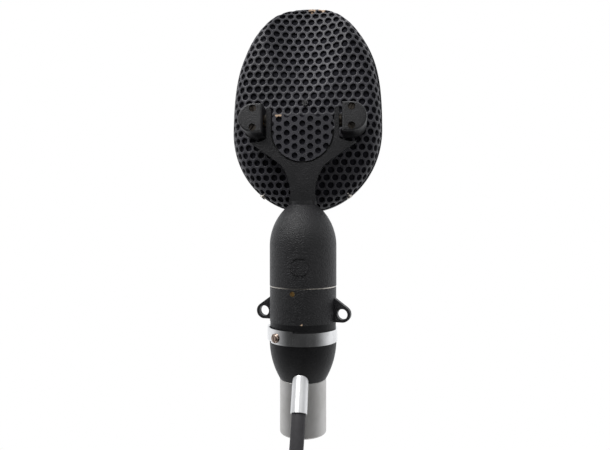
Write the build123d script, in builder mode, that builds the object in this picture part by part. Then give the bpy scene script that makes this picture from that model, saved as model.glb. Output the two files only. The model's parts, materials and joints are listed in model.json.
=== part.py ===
# Ribbon microphone in a swivelling yoke, with a stand socket and a captive lead.
# Millimetres, +Z up, the stand socket's mouth at the origin, the yoke side facing -Y.
from build123d import *

import os
from math import asin, atan2, cos, degrees, pi, radians, sin, sqrt, tan

os.makedirs("parts", exist_ok=True)

# ---- Fits shared by every piece ----
slip = 0.05                      # radial clearance of a running or sliding fit
seat_gap = 0.1                   # between nested sheets
overcut = 1.0                    # how far a cutting tool runs past what it cuts
slot_width = 0.6                 # screwdriver slots
slot_depth = 0.6

# ---- Stem and stand socket ----
stem_radius = 12.2
stem_length = 28.7
stem_edge = 1.0
socket_radius = 7.5
socket_depth = 20.0
socket_edge = 0.5
stud_radius = 4.0
stud_length = 8.3
stem_nut_height = 4.0
stem_nut_radius = stud_radius + 1.6

# ---- Bowl ----
body_radius = 17.6               # bell, bowl rim and barrel share this girth
bowl_foot_radius = 12.3
bowl_height = 19.7
bowl_bulge = 1.35                # how far the bowl's side stands outside a straight cone
bowl_floor = 3.3
bowl_wall = 4.0
bowl_floor_wall = 3.0            # measured level, at the floor
bowl_neck_wall = 2.0
bowl_neck_height = 7.6
board_depth = 4.4                # terminal board's seat, below the bowl's shoulder
board_thickness = 2.0
board_ledge = 1.0
board_hole_radius = 2.5
terminal_screw_radius = 2.0

# ---- Cable gland ----
gland_radius = 4.15
gland_length = 19.5
gland_lean = 30.0                # degrees from vertical
gland_mouth_y = -20.0
gland_mouth_z = 16.0
gland_seal = 13.0                # how far the lead runs into the gland

# ---- Collar and clamp band ----
collar_radius = 17.3
collar_height = 10.4
collar_skirt_wall = 1.6
collar_web = 2.5
collar_spigot = 5.2
collar_spigot_wall = 2.0
band_thickness = 0.7
band_height = 6.6
band_rise = 1.0                  # the outer layer sits this much higher than the inner one
band_end_azimuth = -10.0         # free end of the outer layer
band_step_azimuth = -95.0        # where the outer layer steps in to the inner one
band_inner_end_azimuth = -60.0
band_screw_azimuth = -42.0
band_step_sweep = 2.5            # the outer layer runs this far past the step
band_screw_radius = 1.2
band_screw_head_radius = 2.4
band_screw_head_height = 1.3
band_slot_turn = 20.0

# ---- Barrel, ears and swivel ----
barrel_height = 18.0
barrel_wall = 3.0
barrel_step = 0.1                # the barrel stands in from the bell by this much
barrel_edge = 0.3
barrel_turn = -12.0              # barrel's own front, about Z
ear_reach = 21.6                 # hole centre from the axis
ear_rise = 4.2                   # hole centre above the barrel's foot
ear_radius = 4.2
ear_hole_radius = 2.75
ear_top = 14.2
ear_thickness = 3.0
ear_root = 0.5                   # the ears' roots start this far out in the barrel's wall
ear_lift = 0.01
set_screw_radius = 1.3
set_screw_drop = 2.3             # below the barrel's rim
set_screw_sink = 0.3
set_screw_slot_turn = 35.0
groove_depth = 1.5
groove_height = 3.2
swivel_limit = 90.0
washer_thickness = 0.5
washer_inset = 0.3

# ---- Bell housing ----
bell_straight = 20.7
ogive_radius = 27.8
bell_wall = 2.6
bell_crown = 3.0
bell_crown_radius = 7.5
bell_spigot = 8.8
bell_spigot_wall = 2.4
plug_radius = 4.7
plug_rise = 10.3                 # access plug's centre above the bell's foot
plug_disc = 1.2
plug_stub = 1.1
plug_lip = 1.1
plug_sink = 0.6
plug_edge = 0.25

# ---- Yoke ----
pivot_rise = 44.6                # pivot axis above the bell's top
yoke_rear = 4.0                  # rear face, from the pivot axis
yoke_front = 1.0                 # front face, from the pivot axis
yoke_foot_radius = 7.0
yoke_foot_height = 2.0
neck_half_width = 6.3
neck_waist_rise = 4.0            # narrowest place, above the round foot
neck_flare = ((0.2, 9.0), (2.1, 15.8), (5.2, 21.2))  # (spread, height above the foot) along its side
window_radius = 16.7
window_drop = 6.0                # window's centre below the pivot axis
arm_wall = 2.4
arm_rise = 6.4                   # arm's top above the pivot axis
arm_edge = 0.6
horn_radius = 11.8               # concave top of each horn, about its pivot block
horn_angle = -79.0
ledge_width = 2.5
ledge_root = 0.2
yoke_boss_radius = 4.0
yoke_stud_radius = 4.0
yoke_stud_bore = 2.5
yoke_stud_length = 18.9
yoke_stud_floor = 1.0
lead_hole_radius = 1.5
lead_hole_y = 2.8
lead_hole_depth = 3.0

# ---- Vent plate in the yoke's window ----
vent_gap = 0.8
vent_thickness = 1.2
vent_gauze_thickness = 0.4
vent_top = 2.7                   # straight top edge, above the pivot axis
gauze_inset = 0.4

# ---- Trunnions and pivot blocks ----
trunnion_radius = 2.2
trunnion_thread_radius = 2.0
trunnion_collar_radius = 3.4
trunnion_collar_length = 1.3
trunnion_end_gap = 0.4           # short of the bush's far end
bush_wall = 0.95
bush_length = 8.6
block_width = 12.7
block_round = 7.7
block_inner_x = 20.8
block_depth = 8.5                # from the pivot axis to the head's rear face
cap_depth = 8.0
block_edge = 0.9
foot_radius = 4.0
cap_screw_spread = 5.0
cap_screw_x = 4.9                # from the block's inner face
cap_screw_radius = 1.2
cap_screw_head_radius = 1.8
cap_screw_head_height = 1.3
cap_screw_sink = 2.0
cap_screw_length = 13.0
cap_slot_turns = (35.0, -20.0)

# ---- Head ----
head_tilt = 5.0                  # rest lean, top away from the yoke
head_half_width = 41.7
head_rise = 70.5                 # above the pivot axis
head_drop = 46.0                 # below it
head_fullness = 2.35             # exponent of the upper outline's shoulders
rear_depth = 11.5
front_depth = 15.5
rear_edge = 9.0                  # width of the pressed edge, at the sides and top
rear_edge_low = 24.0             # and at the bottom, which curves away
front_edge = 12.0
front_edge_low = 14.0
sheet = 1.0
lining = 0.4
rim_thickness = 3.0
rim_width = 9.0
rim_bead = 0.5
rim_lip_height = 5.0
rim_lip_wall = 2.0
hole_pitch = 4.76
hole_radius = 1.6
hole_margin = 1.2
scoop_tip = 13.7                 # above the pivot axis
scoop_radius = 42.0
scoop_slope = 10.0
grille_screw_rise = 12.4
grille_screw_radius = 0.95
grille_screw_head_radius = 1.75
grille_screw_head_height = 0.8
grille_screw_short = 2.0         # its end stops this far short of the frame's face
grille_slot_turn = 50.0
small_slot_width = 0.5
grille_slot_depth = 0.4
rim_screw_angle = -55.0          # around the outline, from the widest line
rim_screw_radius = 0.9
rim_screw_head_radius = 1.65
rim_screw_head_height = 1.1
rim_screw_length = 3.4
rim_screw_way = 6.0
rim_slot_turn = 30.0

# ---- Ribbon motor ----
frame_thickness = 3.0
frame_bar_height = 14.0
frame_bar_bearing = 3.2          # how far the bar's ends lap over the rim
frame_plate_half_width = 11.0
frame_plate_low = -26.0
frame_plate_high = 43.0
frame_window_half_width = 5.5
frame_window_low = -16.0
frame_window_high = 34.0
bridge_height = 5.0
pole_low = -18.0
pole_high = 36.0
pole_width = 6.3
pole_depth = 6.0
pole_screw_inset = 5.0           # from each end of a pole piece
pole_screw_reach = 4.8           # into the pole piece
ribbon_gap = 5.4
ribbon_width = 4.6
ribbon_thickness = 0.1
clamp_half_width = 4.5
clamp_height = 4.0
clamp_plate = 1.4
clamp_gap = 1.0                  # between a clamp and the pole pieces' ends
clamp_screw_head_height = 1.0
insulator_thickness = 2.2
magnet_leg = 8.0
magnet_depth = 9.0
magnet_overlap = 16.0
motor_screw_radius = 1.1
motor_screw_head_radius = 2.0
motor_screw_head_height = 1.2
clamp_screw_radius = 0.7
clamp_screw_head_radius = 1.2
clamp_screw_x = 3.3

# ---- Output transformer ----
can_radius = body_radius - 6.1
can_wall = 0.8
can_top_thickness = 1.5
can_length = 25.5
spacer_length = 6.4
crown_nut_height = 4.0
can_nut_height = 3.4
nut_radius = 6.2
spacer_radius = 5.4
core_half_width = 8.0
core_half_depth = 4.0
core_height = 14.0
core_leg = 2.5                   # half the centre leg's width
core_side = 2.5
core_yoke = 3.0
coil_gap = 0.1
coil_round = 1.0

# ---- Lead ----
cord_radius = 3.5
gland_exit = 4.4                 # straight run past the gland's mouth
lead_x = -1.2                    # where the lead hangs
lead_y = -28.8
hank_top = -34.0
hank_y = -30.0
hank_length = 173.0
hank_layers = 5
fold_radius = 21.0               # of the lead's middle, at the hank's folds
fold_angles = (72, 48, 24, 0)    # sections of a fold, counted up from its widest place
waist_columns = 3
waist_rows = 3
tie_height = 9.0
tie_margin = 1.0
tie_thickness = 1.2
boot_length = 22.0
boot_top_radius = 4.8
boot_foot_radius = 8.2
connector_radius = 9.5
connector_wall = 1.2
connector_length = 40.0
connector_insert_length = 24.0
connector_recess = 12.0
contact_radius = 1.2
contact_ring = 4.4
contact_length = 9.0

# ---- Levels, from the sizes above ----
stem_top = stem_length
bowl_top = stem_top + bowl_height
collar_top = bowl_top + collar_height
barrel_top = collar_top + barrel_height
bell_foot = barrel_top + washer_thickness + slip
bell_shoulder = bell_foot + bell_straight
ogive_center = body_radius - ogive_radius
bell_top = bell_shoulder + sqrt(ogive_radius**2 - (bell_crown_radius - ogive_center) ** 2)
pivot_z = bell_top + pivot_rise
barrel_radius = body_radius - barrel_step
barrel_bore = barrel_radius - barrel_wall
block_x = block_inner_x + block_width - block_round
bush_radius = trunnion_radius + slip + bush_wall
arm_outer = window_radius + arm_wall

head_plane = Plane(
    origin=(0, 0, pivot_z),
    x_dir=(1, 0, 0),
    z_dir=(0, -cos(radians(head_tilt)), sin(radians(head_tilt))),
)
yoke_plane = Plane(origin=(0, 0, pivot_z), x_dir=(1, 0, 0), z_dir=(0, -1, 0))
rear_face = -block_depth
rim_rear = rear_face - rear_depth
rim_front = rim_rear - rim_thickness
frame_rear = rim_rear + frame_thickness


def finish(piece, name):
    piece.part.label = name
    export_step(piece.part, f"parts/{name}.step")


def radial_plane(azimuth, height):
    # looks outwards from the vertical axis, at an azimuth counted from -Y towards +X
    turn = radians(azimuth)
    return Plane(origin=(0, 0, height), x_dir=(cos(turn), sin(turn), 0), z_dir=(sin(turn), -cos(turn), 0))


def turned(name, *profile):
    # a turned piece, from (radius, height) points
    with BuildPart() as piece:
        with BuildSketch(Plane.XZ):
            with BuildLine():
                Polyline(*profile, close=True)
            make_face()
        revolve(axis=Axis.Z)
    finish(piece, name)


# ---------------------------------------------------------------- stem and bowl
gland_turn = radians(gland_lean)
gland_plane = Plane(
    origin=(0, gland_mouth_y, gland_mouth_z),
    x_dir=(1, 0, 0),
    z_dir=(0, sin(gland_turn), cos(gland_turn)),
)

with BuildPart() as gland_way:
    with BuildSketch(gland_plane.offset(-stem_radius)):
        Circle(gland_radius + slip)
    extrude(amount=gland_length + 2 * stem_radius)

with BuildPart() as stem:
    Cylinder(stem_radius, stem_length, align=(Align.CENTER, Align.CENTER, Align.MIN))
    chamfer(stem.edges().group_by(Axis.Z)[-1], stem_edge / 2)
    fillet(stem.edges().group_by(Axis.Z)[0], stem_edge)
    with BuildSketch(Plane.XY):
        Circle(socket_radius)
    extrude(amount=socket_depth, mode=Mode.SUBTRACT)
    mouth_edges = stem.edges().filter_by(GeomType.CIRCLE).group_by(Axis.Z)[0]
    chamfer(mouth_edges.sort_by(SortBy.RADIUS)[0], socket_edge)
    with BuildSketch(Plane.XY.offset(stem_length)):
        Circle(stud_radius)
    extrude(amount=stud_length)
    add(gland_way.part, mode=Mode.SUBTRACT)
finish(stem, "stem")

bowl_floor_top = stem_top + bowl_floor
floor_radius = bowl_foot_radius - bowl_floor_wall
board_seat = bowl_top - board_depth
neck_radius = collar_radius - collar_skirt_wall - slip
neck_bore = neck_radius - bowl_neck_wall
side_mid_radius = (bowl_foot_radius + body_radius) / 2
side_mid_z = (stem_top + bowl_top) / 2

with BuildPart() as bowl:
    with BuildSketch(Plane.XZ):
        with BuildLine():
            Polyline(
                (bowl_foot_radius, stem_top),
                (stud_radius + slip, stem_top),
                (stud_radius + slip, bowl_floor_top),
                (floor_radius, bowl_floor_top),
            )
            ThreePointArc(
                (floor_radius, bowl_floor_top),
                (side_mid_radius + bowl_bulge - bowl_wall, side_mid_z),
                (neck_bore - board_ledge, board_seat),
            )
            Polyline(
                (neck_bore - board_ledge, board_seat),
                (neck_bore, board_seat),
                (neck_bore, bowl_top + bowl_neck_height),
                (neck_radius, bowl_top + bowl_neck_height),
                (neck_radius, bowl_top),
                (body_radius, bowl_top),
            )
            ThreePointArc(
                (body_radius, bowl_top),
                (side_mid_radius + bowl_bulge, side_mid_z),
                (bowl_foot_radius, stem_top),
            )
        make_face()
    revolve(axis=Axis.Z)
    add(gland_way.part, mode=Mode.SUBTRACT)
    with BuildSketch(radial_plane(band_screw_azimuth, bowl_top + band_height / 2)):
        Circle(band_screw_radius + slip)
    extrude(amount=body_radius, mode=Mode.SUBTRACT)
finish(bowl, "bowl")

with BuildPart() as stem_nut:
    with BuildSketch(Plane.XY.offset(bowl_floor_top)):
        RegularPolygon(stem_nut_radius, 6)
        Circle(stud_radius + slip, mode=Mode.SUBTRACT)
    extrude(amount=stem_nut_height)
finish(stem_nut, "stem_nut")

with BuildPart() as terminal_board:
    with BuildSketch(Plane.XY.offset(board_seat)):
        Circle(neck_bore - slip)
        with Locations((0, -neck_bore + 2 * board_hole_radius)):
            Circle(board_hole_radius, mode=Mode.SUBTRACT)
        with Locations((0, neck_bore / 2)):
            Circle(board_hole_radius, mode=Mode.SUBTRACT)
    extrude(amount=board_thickness)
finish(terminal_board, "terminal_board")

with BuildPart() as terminal_screws:
    with BuildSketch(Plane.XY.offset(board_seat + board_thickness)):
        with Locations(*[(x * neck_bore / 2, 0) for x in (-1, 0, 1)]):
            Circle(terminal_screw_radius)
    extrude(amount=board_thickness)
finish(terminal_screws, "terminal_screws")

with BuildPart() as cable_gland:
    with BuildSketch(gland_plane):
        Circle(gland_radius)
        Circle(cord_radius + slip, mode=Mode.SUBTRACT)
    extrude(amount=gland_length)
finish(cable_gland, "cable_gland")

# ---------------------------------------------------------------- collar and clamp band
with BuildPart() as collar:
    with BuildSketch(Plane.XZ):
        with BuildLine():
            spigot_radius = barrel_bore - slip
            Polyline(
                (collar_radius, bowl_top),
                (collar_radius, collar_top),
                (spigot_radius, collar_top),
                (spigot_radius, collar_top + collar_spigot),
                (spigot_radius - collar_spigot_wall, collar_top + collar_spigot),
                (spigot_radius - collar_spigot_wall, collar_top - collar_web + slip),
                (collar_radius - collar_skirt_wall, collar_top - collar_web + slip),
                (collar_radius - collar_skirt_wall, bowl_top),
                close=True,
            )
        make_face()
    revolve(axis=Axis.Z)
    with BuildSketch(radial_plane(band_screw_azimuth, bowl_top + band_height / 2)):
        Circle(band_screw_radius + slip)
    extrude(amount=body_radius, mode=Mode.SUBTRACT)
finish(collar, "collar")


def band_layer(inner_radius, foot, start_azimuth, sweep):
    # part of a ring, from one azimuth clockwise as seen from above
    plane = radial_plane(start_azimuth - 90, 0)
    with BuildPart() as layer:
        with BuildSketch(plane):
            with Locations((inner_radius + band_thickness / 2, foot + band_height / 2)):
                Rectangle(band_thickness, band_height)
        revolve(axis=Axis.Z, revolution_arc=-sweep)
    return layer.part


band_inner = collar_radius + slip
band_foot = bowl_top
with BuildPart() as clamp_band:
    inner_sweep = 360 - (band_inner_end_azimuth - band_step_azimuth)
    outer_sweep = band_end_azimuth - band_step_azimuth + band_step_sweep
    add(band_layer(band_inner, band_foot, band_step_azimuth, inner_sweep))
    add(band_layer(band_inner + band_thickness, band_foot + band_rise, band_end_azimuth, outer_sweep))
    with BuildSketch(radial_plane(band_screw_azimuth, bowl_top + band_height / 2)):
        Circle(band_screw_radius + slip)
    extrude(amount=2 * body_radius, mode=Mode.SUBTRACT)
finish(clamp_band, "clamp_band")

band_outer = band_inner + 2 * band_thickness
with BuildPart() as band_screw:
    screw_plane = radial_plane(band_screw_azimuth, bowl_top + band_height / 2)
    with BuildSketch(screw_plane.offset(neck_bore)):
        Circle(band_screw_radius)
    extrude(amount=band_outer - neck_bore + slip)
    with BuildSketch(screw_plane.offset(band_outer + slip)):
        Circle(band_screw_head_radius)
    extrude(amount=band_screw_head_height)
    outwards = Axis(screw_plane.origin, screw_plane.z_dir)
    rim_edges = band_screw.edges().filter_by(GeomType.CIRCLE).sort_by(outwards)
    fillet(rim_edges[-1], band_screw_head_height * 0.7)
    with BuildSketch(screw_plane.offset(band_outer + slip + band_screw_head_height)):
        Rectangle(slot_width, 2 * band_screw_head_radius, rotation=band_slot_turn)
    extrude(amount=-slot_depth, mode=Mode.SUBTRACT)
finish(band_screw, "band_screw")

# ---------------------------------------------------------------- barrel, ears and swivel
groove_middle = barrel_top - set_screw_drop
bell_spigot_radius = barrel_bore - slip
groove_radius = bell_spigot_radius - groove_depth
barrel_face = radial_plane(barrel_turn, 0)
ear_z = collar_top + ear_rise
ear_root_x = barrel_bore + ear_root

with BuildPart() as barrel:
    with BuildSketch(Plane.XY.offset(collar_top)):
        Circle(barrel_radius)
    extrude(amount=barrel_height)
    chamfer(barrel.edges().group_by(Axis.Z)[-1], barrel_edge)
    with BuildSketch(barrel_face.offset(-ear_thickness / 2)) as ear_pair:
        with BuildSketch() as right_ear:
            with BuildLine():
                Line((ear_root_x, collar_top + ear_lift), (ear_root_x, collar_top + ear_top))
                CenterArc((ear_reach, ear_z), ear_radius, 0, 360)
            make_hull()
            with Locations((ear_reach, ear_z)):
                Circle(ear_hole_radius, mode=Mode.SUBTRACT)
        mirror(about=Plane.YZ)
    extrude(amount=ear_thickness)
    with BuildSketch(Plane.XY.offset(collar_top)):
        Circle(barrel_bore)
    extrude(amount=barrel_height, mode=Mode.SUBTRACT)
    with BuildSketch(radial_plane(barrel_turn, groove_middle)):
        Circle(set_screw_radius + slip)
    extrude(amount=body_radius + overcut, mode=Mode.SUBTRACT)
finish(barrel, "barrel")

with BuildPart() as set_screw:
    screw_plane = radial_plane(barrel_turn, groove_middle)
    with BuildSketch(screw_plane.offset(groove_radius + 2 * slip)):
        Circle(set_screw_radius)
    extrude(amount=body_radius - set_screw_sink - groove_radius)
    with BuildSketch(screw_plane.offset(body_radius)):
        Rectangle(small_slot_width, 2 * set_screw_radius, rotation=set_screw_slot_turn)
    extrude(amount=-set_screw_sink - slot_depth, mode=Mode.SUBTRACT)
finish(set_screw, "set_screw")

turned(
    "swivel_washer",
    (barrel_bore + slip, barrel_top),
    (body_radius - washer_inset, barrel_top),
    (body_radius - washer_inset, barrel_top + washer_thickness),
    (barrel_bore + slip, barrel_top + washer_thickness),
)

# ---------------------------------------------------------------- bell housing
bell_inner_center = ogive_center
bell_inner_ogive = ogive_radius - bell_wall
crown_under = bell_top - bell_crown
crown_inner_radius = bell_inner_center + sqrt(bell_inner_ogive**2 - (crown_under - bell_shoulder) ** 2)


def ogive_point(radius, height):
    # the point at a height on an arc about the bell's ogive centre
    return (ogive_center + sqrt(radius**2 - (height - bell_shoulder) ** 2), height)


spigot_bore = bell_spigot_radius - bell_spigot_wall
plug_z = bell_foot + plug_rise
plug_seat = body_radius - plug_disc - plug_sink

with BuildPart() as bell_housing:
    with BuildSketch(Plane.XZ):
        with BuildLine():
            Polyline(
                (spigot_bore, bell_foot - bell_spigot),
                (bell_spigot_radius, bell_foot - bell_spigot),
                (bell_spigot_radius, bell_foot),
                (body_radius, bell_foot),
                (body_radius, bell_shoulder),
            )
            ThreePointArc(
                (body_radius, bell_shoulder),
                ogive_point(ogive_radius, (bell_shoulder + bell_top) / 2),
                (bell_crown_radius, bell_top),
            )
            Polyline(
                (bell_crown_radius, bell_top),
                (yoke_stud_radius + slip, bell_top),
                (yoke_stud_radius + slip, crown_under),
                (crown_inner_radius, crown_under),
            )
            ThreePointArc(
                (crown_inner_radius, crown_under),
                ogive_point(bell_inner_ogive, (bell_shoulder + crown_under) / 2),
                (body_radius - bell_wall, bell_shoulder),
            )
            Polyline(
                (body_radius - bell_wall, bell_shoulder),
                (body_radius - bell_wall, bell_foot + bell_wall),
                (spigot_bore, bell_foot + bell_wall),
                (spigot_bore, bell_foot - bell_spigot),
            )
        make_face()
    revolve(axis=Axis.Z)
    # the groove that the set screw rides in, as long as the swivel's travel
    groove_half = swivel_limit + degrees(asin((set_screw_radius + 4 * slip) / groove_radius))
    with BuildSketch(radial_plane(barrel_turn + groove_half - 90, 0)):
        with Locations(((groove_radius + bell_spigot_radius + slip) / 2, groove_middle)):
            Rectangle(bell_spigot_radius + slip - groove_radius, groove_height)
    revolve(axis=Axis.Z, revolution_arc=-2 * groove_half, mode=Mode.SUBTRACT)
    plug_plane = radial_plane(0, plug_z)
    with BuildSketch(plug_plane.offset(plug_seat - plug_stub)):
        Circle(plug_radius - plug_lip)
    extrude(amount=2 * body_radius, mode=Mode.SUBTRACT)
    with BuildSketch(plug_plane.offset(plug_seat)):
        Circle(plug_radius + slip)
    extrude(amount=2 * body_radius, mode=Mode.SUBTRACT)
finish(bell_housing, "bell_housing")

with BuildPart() as access_plug:
    with BuildSketch(plug_plane.offset(plug_seat)):
        Circle(plug_radius)
    extrude(amount=plug_disc)
    fillet(access_plug.edges().sort_by(Axis.Y)[0], plug_edge)
    with BuildSketch(plug_plane.offset(plug_seat)):
        Circle(plug_radius - plug_lip - slip)
    extrude(amount=-plug_stub)
finish(access_plug, "access_plug")

# ---------------------------------------------------------------- yoke
def horn_point(angle):
    turn = radians(angle)
    return (block_x + horn_radius * cos(turn), horn_radius * sin(turn))


horn_tip = horn_point(horn_angle)
horn_root_angle = -degrees(atan2(sqrt(horn_radius**2 - (block_x - arm_outer) ** 2), arm_outer - block_x))
horn_root = horn_point(horn_root_angle)
yoke_foot = -pivot_rise
neck_top = -window_drop - window_radius
neck_waist = yoke_foot + yoke_foot_height + neck_waist_rise
neck_side = [(neck_half_width + spread, yoke_foot + height) for spread, height in neck_flare]

with BuildPart() as yoke:
    with BuildSketch(yoke_plane.offset(-yoke_front)):
        with BuildLine():
            Polyline(
                (0, neck_top),
                (0, yoke_foot),
                (yoke_foot_radius, yoke_foot),
                (yoke_foot_radius, yoke_foot + yoke_foot_height),
                (neck_half_width, neck_waist),
                neck_side[0],
            )
            ThreePointArc(*neck_side)
            Line(neck_side[-1], horn_tip)
            ThreePointArc(horn_tip, horn_point((horn_angle + horn_root_angle) / 2), horn_root)
            Polyline(
                horn_root,
                (arm_outer, arm_rise - arm_edge),
                (arm_outer - arm_edge, arm_rise),
                (window_radius + arm_edge, arm_rise),
                (window_radius, arm_rise - arm_edge),
                (window_radius, -window_drop),
            )
            CenterArc((0, -window_drop), window_radius, 0, -90)
        make_face()
        mirror(about=Plane.YZ)
    extrude(amount=yoke_rear + yoke_front)
    # ledge that carries the vent plate
    with BuildSketch(yoke_plane.offset(-yoke_front)):
        with Locations((0, -window_drop)):
            Circle(window_radius + ledge_root)
            Circle(window_radius - ledge_width, mode=Mode.SUBTRACT)
            Rectangle(
                3 * window_radius,
                window_radius + overcut,
                align=(Align.CENTER, Align.MIN),
                mode=Mode.SUBTRACT,
            )
    extrude(amount=yoke_rear + yoke_front - vent_thickness - vent_gauze_thickness)
    # bosses for the trunnions
    for side in (-1, 1):
        with BuildSketch(Plane.YZ.offset(side * window_radius)):
            with Locations((0, pivot_z)):
                Circle(yoke_boss_radius)
        extrude(amount=side * arm_wall)
        with BuildSketch(Plane.YZ.offset(side * (window_radius - overcut))):
            with Locations((0, pivot_z)):
                Circle(trunnion_thread_radius + slip / 2)
        extrude(amount=side * (arm_wall + 2 * overcut), mode=Mode.SUBTRACT)
    # round foot and the hollow stud that fastens it through the bell's crown
    with BuildSketch(Plane.XY.offset(bell_top)):
        Circle(yoke_foot_radius)
    extrude(amount=yoke_foot_height)
    with BuildSketch(Plane.XY.offset(bell_top)):
        Circle(yoke_stud_radius)
    extrude(amount=-yoke_stud_length)
    with BuildSketch(Plane.XY.offset(bell_top - yoke_stud_length)):
        Circle(yoke_stud_bore)
    extrude(amount=yoke_stud_length - yoke_stud_floor, mode=Mode.SUBTRACT)
    with BuildSketch(Plane.XY.offset(bell_top - lead_hole_depth)):
        with Locations((0, lead_hole_y)):
            Circle(lead_hole_radius)
    extrude(amount=yoke_foot_height + lead_hole_depth, mode=Mode.SUBTRACT)
finish(yoke, "yoke")


def window_outline(inset, top):
    # the vent plate's outline: round below, straight-sided above
    with BuildSketch() as outline:
        with Locations((0, -window_drop)):
            Circle(window_radius - inset)
        with Locations((0, -window_drop)):
            Rectangle(2 * (window_radius - inset), top + window_drop, align=(Align.CENTER, Align.MIN))
        with Locations((0, top)):
            Rectangle(3 * window_radius, window_radius, align=(Align.CENTER, Align.MIN), mode=Mode.SUBTRACT)
    return outline.sketch


row_step = hole_pitch * sqrt(3) / 2
vent_columns = int(window_radius / row_step) + 1
vent_rows = int((window_radius + window_drop + vent_top) / hole_pitch) + 1
vent_holes = []
for column in range(-vent_columns, vent_columns + 1):
    for row in range(-vent_rows, 2):
        vent_holes.append((column * row_step, vent_top + (row + 0.5 * (column % 2)) * hole_pitch))

with BuildPart() as vent_plate:
    with BuildSketch(yoke_plane.offset(yoke_rear - vent_thickness)):
        add(window_outline(vent_gap, vent_top))
        with Locations(*vent_holes):
            Circle(hole_radius, mode=Mode.SUBTRACT)
    extrude(amount=vent_thickness)
finish(vent_plate, "vent_plate")

with BuildPart() as vent_gauze:
    with BuildSketch(yoke_plane.offset(yoke_rear - vent_thickness - vent_gauze_thickness)):
        add(window_outline(vent_gap + gauze_inset, vent_top - gauze_inset))
    extrude(amount=vent_gauze_thickness)
finish(vent_gauze, "vent_gauze")

for side, name in ((-1, "left_trunnion"), (1, "right_trunnion")):
    with BuildPart() as trunnion:
        with BuildSketch(Plane.YZ.offset(side * (window_radius + slip))):
            with Locations((0, pivot_z)):
                Circle(trunnion_thread_radius)
        extrude(amount=side * (arm_wall - slip))
        with BuildSketch(Plane.YZ.offset(side * arm_outer)):
            with Locations((0, pivot_z)):
                Circle(trunnion_collar_radius)
        extrude(amount=side * trunnion_collar_length)
        pin_foot = arm_outer + trunnion_collar_length
        with BuildSketch(Plane.YZ.offset(side * pin_foot)):
            with Locations((0, pivot_z)):
                Circle(trunnion_radius)
        extrude(amount=side * (block_inner_x + bush_length - trunnion_end_gap - pin_foot))
    finish(trunnion, name)

# ---------------------------------------------------------------- pivot blocks on the head
for side, name in ((-1, "left"), (1, "right")):
    inner_x = side * block_inner_x
    cap_screw_spots = [
        (inner_x + side * cap_screw_x, spread) for spread in (-cap_screw_spread, cap_screw_spread)
    ]
    bore_foot = head_plane.origin + Vector(inner_x - side * overcut, 0, 0)
    bore_plane = Plane(bore_foot, x_dir=(0, 1, 0), z_dir=(side, 0, 0))
    with BuildPart() as pivot_bore:
        with BuildSketch(bore_plane):
            Circle(bush_radius)
        extrude(amount=bush_length + overcut + slip)
    with BuildPart() as screw_ways:
        with BuildSketch(head_plane.offset(cap_depth)):
            with Locations(*cap_screw_spots):
                Circle(cap_screw_radius + slip)
        extrude(amount=-cap_screw_length - overcut)
        with BuildSketch(head_plane.offset(cap_depth)):
            with Locations(*cap_screw_spots):
                Circle(cap_screw_head_radius + 2 * slip)
        extrude(amount=-cap_screw_sink)
    for part_name, foot, depth in (("block", rear_face, block_depth), ("cap", 0, cap_depth)):
        with BuildPart() as half_block:
            with BuildSketch(head_plane.offset(foot)):
                with BuildLine():
                    round_x = side * block_x
                    Polyline(
                        (round_x, block_round),
                        (inner_x, block_round),
                        (inner_x, -block_round),
                        (round_x, -block_round),
                    )
                    outer_x = inner_x + side * block_width
                    ThreePointArc((round_x, -block_round), (outer_x, 0), (round_x, block_round))
                make_face()
            extrude(amount=depth)
            if part_name == "cap":
                outward = Axis(head_plane.origin, head_plane.z_dir)
                fillet(half_block.faces().sort_by(outward)[-1].edges(), block_edge)
            else:
                with BuildSketch(head_plane.offset(foot)):
                    with Locations((side * block_x, 0)):
                        Circle(foot_radius)
                extrude(amount=frame_rear - foot)
            add(pivot_bore.part, mode=Mode.SUBTRACT)
            add(screw_ways.part, mode=Mode.SUBTRACT)
        finish(half_block, f"{name}_pivot_{part_name}")
    with BuildPart() as cap_screws:
        head_foot = cap_depth - cap_screw_sink
        with BuildSketch(head_plane.offset(head_foot)):
            with Locations(*cap_screw_spots):
                Circle(cap_screw_head_radius)
        extrude(amount=cap_screw_head_height)
        with BuildSketch(head_plane.offset(head_foot)):
            with Locations(*cap_screw_spots):
                Circle(cap_screw_radius)
        extrude(amount=-(cap_screw_length - cap_screw_sink))
        with BuildSketch(head_plane.offset(head_foot + cap_screw_head_height)):
            for spot, slot_turn in zip(cap_screw_spots, cap_slot_turns):
                with Locations(spot):
                    Rectangle(slot_width, 2 * cap_screw_head_radius + overcut, rotation=side * slot_turn)
        extrude(amount=-slot_depth, mode=Mode.SUBTRACT)
    finish(cap_screws, f"{name}_cap_screws")
    with BuildPart() as pivot_bush:
        with BuildSketch(bore_plane.offset(overcut)):
            Circle(bush_radius - slip / 2)
            Circle(trunnion_radius + slip, mode=Mode.SUBTRACT)
        extrude(amount=bush_length)
    finish(pivot_bush, f"{name}_pivot_bush")

# ---------------------------------------------------------------- head shells
shoulder = 0.5 ** (1 / head_fullness)
edge_angles = (0, 22.5, 45, 67.5, 90)


def egg(plane, side_inset, low_inset):
    # the head's outline: full shoulders above the widest line, half an ellipse below it
    half_width = head_half_width - side_inset
    rise = head_rise - side_inset
    with BuildSketch(plane) as face:
        with BuildLine():
            EllipticalCenterArc((0, 0), half_width, head_drop - low_inset, -90, arc_size=90)
            Spline(
                (half_width, 0),
                (half_width * shoulder, rise * shoulder),
                (0, rise),
                tangents=[(0, 1), (-1, 0)],
            )
            mirror(about=Plane.YZ)
        make_face()
    return face.sketch


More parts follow.
